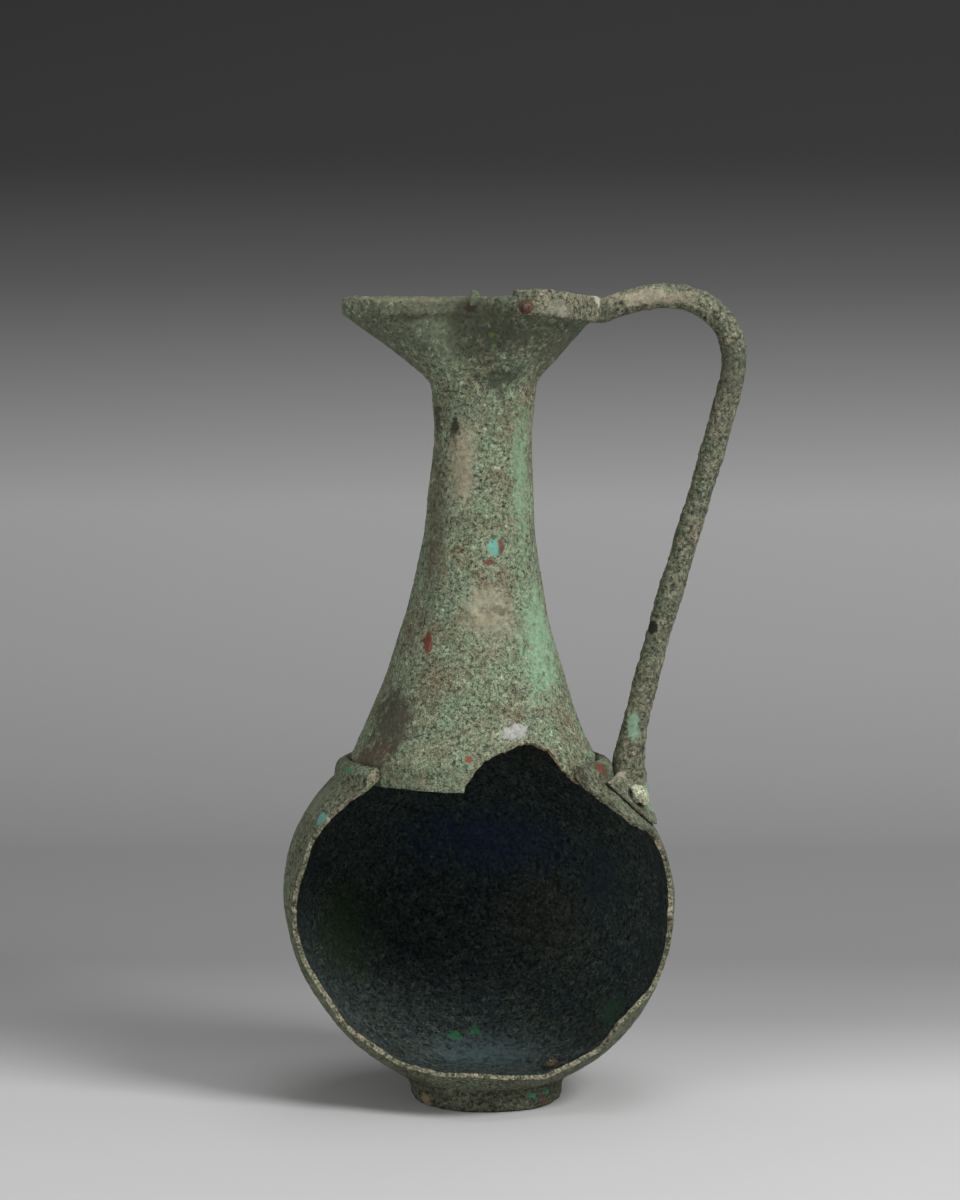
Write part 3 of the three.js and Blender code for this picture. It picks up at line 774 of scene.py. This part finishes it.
# %% [markdown]
# The belly has three skins. Outside it is a duller green than the neck, the broken edge is pale and
# earthy, and the inside is dark, with wide drifts of green, blue and brown.

# %% Finish of the belly
belly_colours = [(108, 118, 96), (90, 88, 68), (150, 156, 130), (48, 48, 36)]
belly_edge_colours = [(138, 134, 110), (108, 112, 90), (172, 166, 142), (70, 68, 52)]
belly_inner_colours = [(56, 68, 62), (42, 56, 62), (104, 112, 102), (22, 26, 24)]
belly_marks = {
    "brown corner of the collar": ((603, 768), (4, 6, 4), (84, 66, 50), 0.8, 0.6),
    "red corner of the collar": ((600, 768), (1.4, 2, 2), (132, 50, 38), 0.8, 0.4),
    "malachite spot": ((348, 770), (1.1, 3, 1.1), (46, 140, 92), 0.9, 0.4),
    "blue shoulder": ((322, 820), (2, 4, 2.4), (104, 168, 156), 0.8, 0.4),
    "pale plate foot": ((625, 826), (7, 9, 8), (150, 152, 128), 0.6, 0.7),
    "pale shoulder": ((318, 800), (5, 9, 9), (122, 130, 108), 0.6, 0.7),
}
inside_marks = {
    "green drift": ((345, 930), (12, 26, 20), (44, 66, 30), 0.7, 0.9),
    "blue drift": ((490, 840), (34, 30, 14), (42, 62, 92), 0.75, 0.9),
    "grey drift": ((600, 880), (12, 26, 14), (48, 66, 74), 0.6, 0.9),
    "brown drift": ((545, 920), (26, 26, 22), (76, 66, 54), 0.35, 1.3),
    "blue bottom": ((480, 1052), (30, 16, 6), (86, 104, 106), 0.7, 1.0),
    "left malachite": ((455, 1035), (2, 3, 1.5), (58, 124, 84), 0.8, 0.4),
    "right malachite": ((475, 1030), (1.6, 3, 1.3), (58, 124, 84), 0.8, 0.4),
    "green corner": ((612, 1010), (6, 8, 6), (62, 98, 72), 0.6, 0.6),
}
edge_marks = {
    "dark collar edge": ((396, 786), (9, 20, 6), (86, 82, 64), 0.8, 0.5),
    "brown collar edge": ((604, 768), (8, 16, 7), (84, 72, 56), 0.8, 0.5),
}
belly_finish = [
    bronze("belly_patina", belly_colours, 0.0, 0.01, placed(belly, belly_marks)),
    bronze("belly_broken_edge", belly_edge_colours, 0.02, 0.03, placed(belly, edge_marks)),
    bronze("belly_inner_skin", belly_inner_colours, 0.03, 0.02, placed(belly, inside_marks)),
]
for i, material in enumerate(belly_finish):
    belly.data.materials[i] = material


# %% [markdown]
# The foot is darker and browner. The mouth shares the colours of the neck, so that the seam between them
# doesn't show. It has painted shade over its flaring sheet, in the hollow and in the throat, and painted
# light on the ridge of its pinch. The handle is browner on its top, the bosses are pale, and the rivets on
# the rim are the red of copper oxide.

# %% Finish of the cast parts
def dress(piece, material):
    """Gives a piece one material all over."""
    piece.data.materials.clear()
    piece.data.materials.append(material)


foot_colours = [(92, 96, 78), (76, 76, 60), (122, 120, 98), (46, 46, 36)]
foot_marks = {
    "left malachite": ((533, 1095), (1.2, 2, 1.0), (40, 140, 96), 0.9, 0.4),
    "right malachite": ((547, 1092), (1.1, 2, 0.9), (40, 140, 96), 0.9, 0.4),
    "pale scar": ((426, 1100), (1.8, 3, 3), (150, 132, 104), 0.8, 0.5),
    "red scar": ((544, 1101), (1.4, 2, 1.4), (120, 62, 48), 0.7, 0.5),
}
dress(foot, bronze("foot_patina", foot_colours, -0.01, 0.02, placed(foot, foot_marks)))

# Four marks of the mouth are painted light and shade, not stains: painted light on the ridge of the pinch,
# and painted shade in the hollow beside it, in the throat and over the whole flaring sheet under the rim.
mouth_shade_middle = Vector((axis_shift(neck_top), 0, neck_top + 21 * mm))
mouth_marks = {
    "painted light on the pinch": ((446, 345), (4.4, 6, 9), (122, 126, 102), 0.7, 0.8),
    "painted shade in the hollow": ((505, 334), (16, 12, 8), (42, 38, 29), 0.85, 0.9),
    "seam with the neck": (seam_middle, seam_half_sizes, seam_tone, 0.6, 0.9),
    "painted shade over the sheet": (mouth_shade_middle, (52, 36, 19), (82, 88, 70), 0.75, 0.5),
    "painted shade in the throat": ((502, 378), (9, 12, 6), (52, 60, 45), 0.8, 0.8),
    "pale rim": ((400, 300), (26, 12, 1.0), (136, 130, 106), 0.4, 0.9),
    "brown burr": ((470, 308), (3, 3, 1.8), (66, 50, 38), 0.8, 0.5),
    "left green spot": ((491, 335), (0.9, 2, 0.9), (112, 136, 72), 0.7, 0.6),
    "right green spot": ((498, 336), (0.8, 2, 0.8), (112, 136, 72), 0.7, 0.6),
    "low green spot": ((494, 346), (0.8, 2, 0.8), (112, 136, 72), 0.7, 0.6),
}
dress(mouth, bronze("mouth_patina_and_painted_shade", neck_colours, 0.02, -0.01, placed(mouth, mouth_marks)))

handle_colours = [(112, 112, 92), (88, 98, 78), (178, 168, 144), (58, 56, 44)]
handle_marks = {
    "dark bend": ((724, 372), (8, 8, 16), (80, 80, 66), 0.6, 0.9),
    "pale top": ((650, 298), (16, 6, 3), (190, 178, 154), 0.6, 0.8),
    "white arm": ((598, 299), (4, 4, 3), (206, 200, 178), 0.7, 0.6),
    "pale flange": ((560, 309), (9, 4, 3), (150, 152, 132), 0.6, 0.8),
    "black spot": ((653, 628), (1.6, 3, 2.6), (30, 28, 22), 0.95, 0.35),
    "green bar": ((633, 726), (2.2, 4, 5), (142, 176, 150), 0.85, 0.5),
    "pale root": ((615, 775), (4, 6, 4), (178, 172, 150), 0.7, 0.6),
    "green plate": ((648, 800), (2.4, 8, 7), (140, 176, 146), 0.7, 0.6),
}
dress(handle, bronze("handle_patina", handle_colours, 0.01, 0.01, placed(handle, handle_marks)))

boss_finish = bronze("boss_patina", [(184, 190, 162), (156, 164, 136), (212, 216, 194), (116, 112, 92)])
rivet_finish = bronze("rivet_patina", [(92, 62, 50), (80, 66, 52), (126, 104, 86), (50, 40, 32)])
for node, piece in rivets.items():
    dress(piece, boss_finish if node.startswith("shoulder") else rivet_finish)

# %% [markdown]
# A knob of corroded metal has stuck to the bottom of the belly, just inside the break. It is a ball
# of small faces, pressed flat and roughened, that sits on the sheet where it is seen.

# %% The knob inside the belly
knob_radius = 2.6 * mm
knob_pixel = (552, 1066)
knob_squash = (1.0, 0.9, 0.85)
knob_dent = 1.0 * mm
knob_grain = 0.5 * mm
knob_colours = [(104, 96, 70), (80, 72, 52), (140, 134, 106), (44, 40, 30)]
knob_place = seen_at(belly, *knob_pixel)
bpy.ops.object.select_all(action="DESELECT")
bpy.ops.mesh.primitive_ico_sphere_add(subdivisions=5, radius=knob_radius, location=knob_place)
knob = bpy.context.object
knob.name = "corroded_knob"
bpy.ops.object.transform_apply(location=True, rotation=True, scale=True)
bpy.ops.object.mode_set(mode="EDIT")
bpy.ops.mesh.select_all(action="SELECT")
bpy.ops.transform.resize(value=knob_squash)
bpy.ops.object.mode_set(mode="OBJECT")
corrode(knob, knob_dent, knob_grain)
dress(knob, bronze("knob_patina", knob_colours))
print(knob.name, "sits", round(knob_place.z / mm), "mm up")
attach(knob, "root")

# %% [markdown]
# Every piece is then tied to the frame: it is shaded smooth, rides on the one body, and takes the place of
# the solid that it was made from, which is hidden.

# %% Tie the pieces to the frame
stands_for = {
    "foot": (foot, "foot"),
    "body_shell": (belly, "body"),
    "neck": (neck, "neck"),
    "mouth": (mouth, "mouth"),
    "handle": (handle, "handle"),
}
stands_for.update({node: (piece, "rivet") for node, piece in rivets.items()})
smooth_up_to = math.radians(50)
for node, (piece, slot_name) in stands_for.items():
    only(piece)
    bpy.ops.object.shade_smooth_by_angle(angle=smooth_up_to)
    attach(piece, "root")
    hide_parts(node)
print(len(stands_for), "pieces tied")

# %% [markdown]
# The studio is a pale floor that runs back into a sweep. Its colour darkens further back along the floor and
# higher up the wall, which is painted fall-off of the light. The colour follows one line: the distance back
# along the floor plus the height up the wall.

# %% Floor and backdrop
floor_front = -1.6
floor_back = 0.7
floor_half_width = 3
backdrop_height = 1.6
sweep_radius = 0.28
sweep_segments = 24
bpy.ops.object.select_all(action="DESELECT")
bpy.ops.mesh.primitive_plane_add(size=2, location=(0, 0, 0))
floor = bpy.context.object
floor.name = "studio_floor"
for vertex in floor.data.vertices:
    vertex.co.x *= floor_half_width
    vertex.co.y = floor_back if vertex.co.y > 0 else floor_front
bpy.ops.object.mode_set(mode="EDIT")
bpy.ops.mesh.select_all(action="DESELECT")
bpy.ops.object.mode_set(mode="OBJECT")
for edge in floor.data.edges:
    edge.select = all(floor.data.vertices[i].co.y > 0 for i in edge.vertices)
bpy.ops.object.mode_set(mode="EDIT")
bpy.ops.mesh.select_mode(type="EDGE")
bpy.ops.mesh.extrude_region_move(TRANSFORM_OT_translate={"value": (0, 0, backdrop_height)})
bpy.ops.object.mode_set(mode="OBJECT")
for edge in floor.data.edges:
    edge.select = all(abs(floor.data.vertices[i].co.y - floor_back) < mm for i in edge.vertices)
    edge.select = edge.select and all(floor.data.vertices[i].co.z < mm for i in edge.vertices)
bpy.ops.object.mode_set(mode="EDIT")
bpy.ops.mesh.bevel(offset=sweep_radius, segments=sweep_segments, affect="EDGES")
bpy.ops.object.mode_set(mode="OBJECT")
bpy.ops.object.shade_smooth()
print("floor and backdrop of", len(floor.data.polygons), "faces")

# %% [markdown]
# The tones of the paper are a ramp of painted fall-off of the light: pale in front of the jug, darker behind
# it and darkest high on the wall. It starts a metre in front of the jug, and each tone has its place as a
# share of the ramp's length.

# %% Studio paper with painted fall-off of the light
ramp_lead = 1.0
ramp_length = 2.4
stage_material = bpy.data.materials.new("studio_paper_painted_falloff")
stage_material.use_nodes = True
stage_tree = stage_material.node_tree
stage_shader = stage_tree.nodes["Principled BSDF"]
stage_shader.inputs["Roughness"].default_value = 0.9
stage_shader.inputs["Specular IOR Level"].default_value = 0.1
stage_place = stage_tree.nodes.new("ShaderNodeSeparateXYZ")
stage_tree.links.new(stage_tree.nodes.new("ShaderNodeTexCoord").outputs["Object"], stage_place.inputs[0])
way_back = sum_of(stage_tree, "ADD", stage_place.outputs["Y"], stage_place.outputs["Z"])
ramp = stage_tree.nodes.new("ShaderNodeValToRGB")
along_stage = sum_of(stage_tree, "DIVIDE", sum_of(stage_tree, "ADD", way_back, ramp_lead), ramp_length)
stage_tree.links.new(along_stage, ramp.inputs["Fac"])
# These tones are painted fall-off of the light: pale in front, darker behind the jug and high on the wall.
painted_falloff_tones = [
    (0.0, 196), (0.42, 190), (0.46, 155), (0.5, 138), (0.62, 144), (0.74, 154), (0.77, 126), (0.8, 88),
    (0.826, 56), (0.9, 42),
]
while len(ramp.color_ramp.elements) < len(painted_falloff_tones):
    ramp.color_ramp.elements.new(0.5)
for element, (position, grey) in zip(ramp.color_ramp.elements, painted_falloff_tones):
    element.position = position
    element.color = tone(grey, grey, grey)
stage_tree.links.new(ramp.outputs["Color"], stage_shader.inputs["Base Color"])
floor.data.materials.append(stage_material)
print("paper with", len(painted_falloff_tones), "tones")

# %% [markdown]
# The light is a large soft lamp high on the handle side, which leaves a soft shadow on the spout
# side, with a weak lamp opposite it and an even glow from the world.

# %% Lamps and world
aim = Vector((0, 0, 0.12))


def soft_lamp(name, place, size, power):
    """A square area lamp that looks at the jug."""
    data = bpy.data.lights.new(name, "AREA")
    data.size = size
    data.energy = power
    lamp = bpy.data.objects.new(name, data)
    lamp.location = place
    lamp.rotation_euler = (aim - Vector(place)).to_track_quat("-Z", "Y").to_euler()
    bpy.context.scene.collection.objects.link(lamp)


soft_lamp("key_lamp", place=(0.8, -0.6, 0.9), size=0.5, power=15.0)
soft_lamp("fill_lamp", place=(-0.9, -1.0, 0.5), size=0.8, power=5.0)
soft_lamp("top_lamp", place=(0.1, 0.1, 1.2), size=0.7, power=4.0)

glow = 0.3
world = bpy.data.worlds.new("studio_world")
world.use_nodes = True
world.node_tree.nodes["Background"].inputs["Color"].default_value = (1, 1, 1, 1)
world.node_tree.nodes["Background"].inputs["Strength"].default_value = glow
bpy.context.scene.world = world
print("lamps:", [light.name for light in bpy.data.lights])
